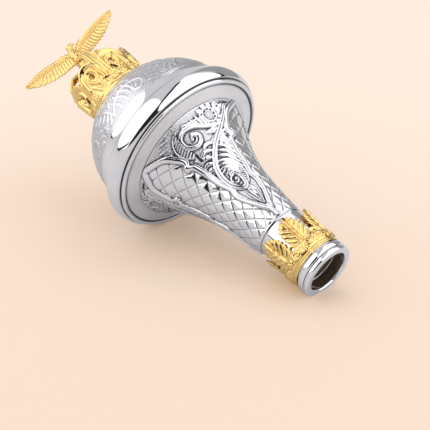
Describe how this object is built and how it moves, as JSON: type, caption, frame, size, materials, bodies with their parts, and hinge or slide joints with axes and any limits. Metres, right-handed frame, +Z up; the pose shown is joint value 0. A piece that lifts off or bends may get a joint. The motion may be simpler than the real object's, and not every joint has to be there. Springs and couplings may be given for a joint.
{
  "type": "ceremonial mace head",
  "caption": "Silver and gilt head of a ceremonial mace, lying on its side: embossed neck, polished rim, domed top, crown and eagle, with a socket for a staff.",
  "frame": {"origin": "middle of the lying head's box, on the floor", "axes": "+Z up from the floor, +X towards the mouth of the socket, the crown and the eagle towards -X and raised, the axis of the head in the XZ plane"},
  "size_m": [0.27, 0.125, 0.1235],
  "materials": {
    "silver_embossed": "embossed silver, darker in the recesses",
    "silver_polished": "mirror polished silver",
    "gilt": "polished gilt, amber in the recesses"
  },
  "bodies": {
    "root": {"dome_cap": "silver_embossed", "flange": "silver_polished", "neck": "silver_embossed", "leaf_collar": "gilt", "socket_ring": "silver_polished", "crown": "gilt", "eagle": "gilt"}
  },
  "joints": []
}
